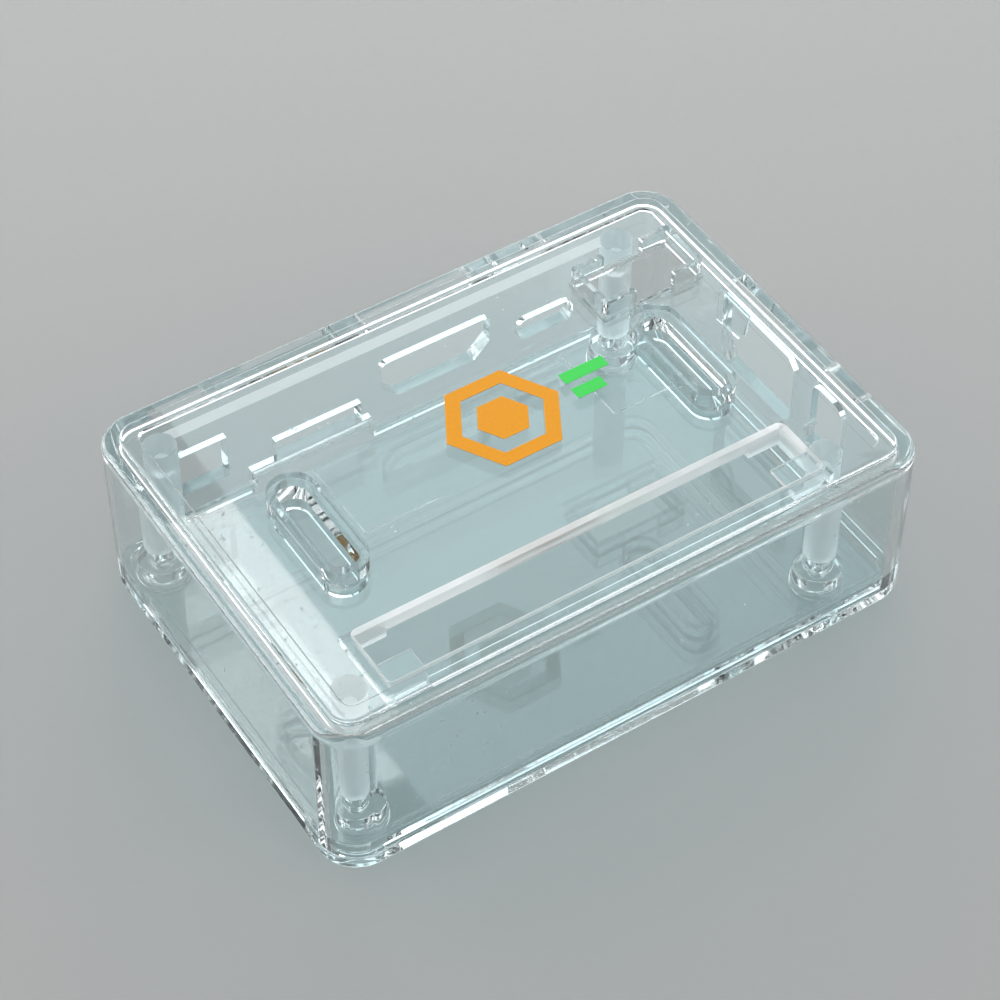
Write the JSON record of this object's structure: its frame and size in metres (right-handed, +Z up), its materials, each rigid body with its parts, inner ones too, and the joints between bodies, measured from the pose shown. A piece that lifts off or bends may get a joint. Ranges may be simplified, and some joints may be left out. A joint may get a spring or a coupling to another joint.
{
  "type": "clear single-board computer case",
  "caption": "Clear two-part case for a small single-board computer, with port openings in two walls and a header slot in the roof.",
  "frame": {"origin": "centre of the closed case's footprint, on its underside", "axes": "+X along the long side towards the wall with the network port, +Y towards the wall with the power and video ports, +Z up"},
  "size_m": [0.079, 0.0554, 0.0251],
  "materials": {
    "clear_base": "clear, polished",
    "clear_cover": "clear, polished, posts frosted",
    "orange_print": "printed ink",
    "green_print": "printed ink"
  },
  "bodies": {
    "base": {"base_plate": "clear_base"},
    "cover": {"cover_shell": "clear_cover", "badge_hexagon": "orange_print", "badge_core": "orange_print", "badge_bar_long": "green_print", "badge_bar_short": "green_print"}
  },
  "joints": [
    {"name": "cover_lift", "type": "slide", "parent": "base", "child": "cover", "axis": [0, 0, 1], "range_m": [0, 0.03]}
  ]
}
